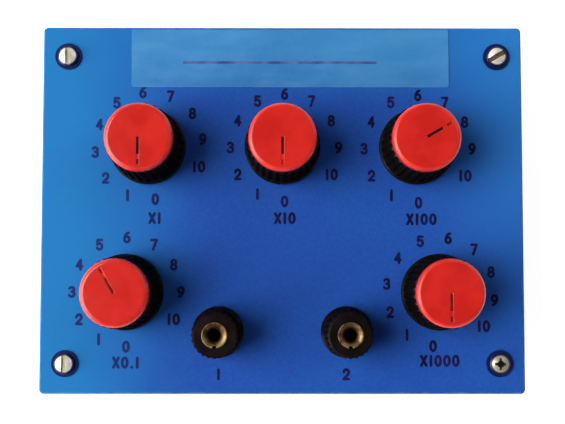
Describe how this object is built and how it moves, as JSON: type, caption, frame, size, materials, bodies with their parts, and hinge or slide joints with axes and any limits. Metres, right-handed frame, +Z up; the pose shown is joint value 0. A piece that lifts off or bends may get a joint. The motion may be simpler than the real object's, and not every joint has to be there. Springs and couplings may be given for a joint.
{
  "type": "resistance box",
  "caption": "Bench resistance box: blue panel on a black case, step dials with red-capped knobs switching decades of resistors, and screw-down binding posts with plug sockets.",
  "frame": {"origin": "on the table, under the middle of the case", "axes": "+X to the right of the panel, +Y towards its upper edge, +Z up out of the panel"},
  "size_m": [0.16, 0.122, 0.0814],
  "materials": {
    "panel_blue": "satin blue paint on sheet metal",
    "film": "clear film over the paint",
    "case_black": "fine moulded texture",
    "knob_black": "moulded, semi-gloss",
    "cap_red": "moulded, glossy",
    "post_black": "moulded, semi-gloss",
    "washer_black": "plain",
    "ink_navy": "printed",
    "brass": "turned",
    "steel": "bright plated",
    "zinc": "pressed and plated",
    "spring_bronze": "rolled strip",
    "contact_silver": "silver-plated strip",
    "phenolic": "paper laminate",
    "resistor_tan": "dipped coating",
    "wire_red": "extruded insulation",
    "rubber": "moulded"
  },
  "bodies": {
    "box": {"case": "case_black", "case_inserts": "brass", "rubber_feet": "rubber", "front_panel": "panel_blue", "title_strip": "film", "panel_screws": "steel", "panel_washers": "washer_black", "switch_nuts": "steel", "switch_washers": "steel", "index_plates": "zinc", "detent_springs": "spring_bronze", "wafers": "phenolic", "wafer_contacts": "contact_silver", "tie_rods": "steel", "wafer_spacers": "brass", "wiring": "wire_red", "post_stems": "brass", "post_collars": "post_black", "post_rear_bushes": "post_black", "post_tags": "brass", "post_nuts": "brass", "resistors_x0_1": "resistor_tan", "resistors_x1": "resistor_tan", "resistors_x10": "resistor_tan", "resistors_x100": "resistor_tan", "resistors_x1000": "resistor_tan"},
    "dial_x0_1": {"knob_x0_1": "knob_black", "cap_x0_1": "cap_red", "grub_screw_x0_1": "steel", "spindle_x0_1": "steel", "rotor_x0_1": "phenolic", "wiper_x0_1": "contact_silver"},
    "dial_x1": {"knob_x1": "knob_black", "cap_x1": "cap_red", "grub_screw_x1": "steel", "spindle_x1": "steel", "rotor_x1": "phenolic", "wiper_x1": "contact_silver"},
    "dial_x10": {"knob_x10": "knob_black", "cap_x10": "cap_red", "grub_screw_x10": "steel", "spindle_x10": "steel", "rotor_x10": "phenolic", "wiper_x10": "contact_silver"},
    "dial_x100": {"knob_x100": "knob_black", "cap_x100": "cap_red", "grub_screw_x100": "steel", "spindle_x100": "steel", "rotor_x100": "phenolic", "wiper_x100": "contact_silver"},
    "dial_x1000": {"knob_x1000": "knob_black", "cap_x1000": "cap_red", "grub_screw_x1000": "steel", "spindle_x1000": "steel", "rotor_x1000": "phenolic", "wiper_x1000": "contact_silver"},
    "clamp_left": {"post_washer_left": "brass"},
    "head_left": {"post_head_left": "post_black"},
    "clamp_right": {"post_washer_right": "brass"},
    "head_right": {"post_head_right": "post_black"}
  },
  "joints": [
    {"name": "dial_x0_1_turn", "type": "hinge", "parent": "box", "child": "dial_x0_1", "pos_m": [-0.0515, -0.0275, 0.058], "axis": [0, 0, -1], "range_deg": [-150, 150], "deforming": ["detent_springs"]},
    {"name": "dial_x1_turn", "type": "hinge", "parent": "box", "child": "dial_x1", "pos_m": [-0.0445, 0.0205, 0.058], "axis": [0, 0, -1], "range_deg": [0, 300], "deforming": ["detent_springs"]},
    {"name": "dial_x10_turn", "type": "hinge", "parent": "box", "child": "dial_x10", "pos_m": [0, 0.0205, 0.058], "axis": [0, 0, -1], "range_deg": [0, 300], "deforming": ["detent_springs"]},
    {"name": "dial_x100_turn", "type": "hinge", "parent": "box", "child": "dial_x100", "pos_m": [0.0445, 0.0205, 0.058], "axis": [0, 0, -1], "range_deg": [-240, 60], "deforming": ["detent_springs"]},
    {"name": "dial_x1000_turn", "type": "hinge", "parent": "box", "child": "dial_x1000", "pos_m": [0.0515, -0.0275, 0.058], "axis": [0, 0, -1], "range_deg": [0, 300], "deforming": ["detent_springs"]},
    {"name": "clamp_left_lift", "type": "slide", "parent": "box", "child": "clamp_left", "axis": [0, 0, 1], "range_m": [0, 0.005]},
    {"name": "head_left_turn", "type": "hinge", "parent": "clamp_left", "child": "head_left", "pos_m": [-0.021, -0.0405, 0.058], "axis": [0, 0, 1], "range_deg": [0, 1440]},
    {"name": "clamp_right_lift", "type": "slide", "parent": "box", "child": "clamp_right", "axis": [0, 0, 1], "range_m": [0, 0.005]},
    {"name": "head_right_turn", "type": "hinge", "parent": "clamp_right", "child": "head_right", "pos_m": [0.021, -0.0405, 0.058], "axis": [0, 0, 1], "range_deg": [0, 1440]}
  ],
  "couplings": [
    {"joint": "head_left_turn", "follows": "clamp_left_lift", "rad_per_m": 5026.5},
    {"joint": "head_right_turn", "follows": "clamp_right_lift", "rad_per_m": 5026.5}
  ]
}
